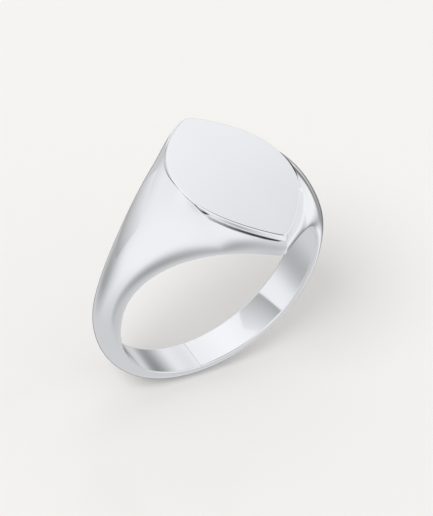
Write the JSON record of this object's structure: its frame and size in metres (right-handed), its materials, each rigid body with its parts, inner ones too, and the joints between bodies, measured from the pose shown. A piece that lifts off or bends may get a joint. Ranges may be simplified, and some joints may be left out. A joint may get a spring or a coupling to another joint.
{
  "type": "signet ring",
  "caption": "Plain polished signet ring with a flat, lens-shaped table on a raised plate, flared shoulders and a narrow rounded band",
  "frame": {"origin": "centre of the finger bore", "axes": "+Y along the finger, from the sharper point of the table to the rounder one; +Z from the finger out through the table; +X across the band to the right shoulder"},
  "size_m": [0.02, 0.0152, 0.0204],
  "materials": {
    "silver_face": "flat mirror polish, cool white metal such as sterling silver or rhodium-plated white gold",
    "silver_body": "mirror polish, cool white metal such as sterling silver or rhodium-plated white gold",
    "solder": "silver solder filed flush and polished with the metal beside it"
  },
  "bodies": {
    "root": {"face_plate": "silver_face", "face_solder": "solder", "head": "silver_body", "left_shoulder": "silver_body", "right_shoulder": "silver_body", "left_head_solder": "solder", "right_head_solder": "solder", "left_band": "silver_body", "right_band": "silver_body", "left_band_solder": "solder", "right_band_solder": "solder", "back_solder": "solder"}
  },
  "joints": []
}
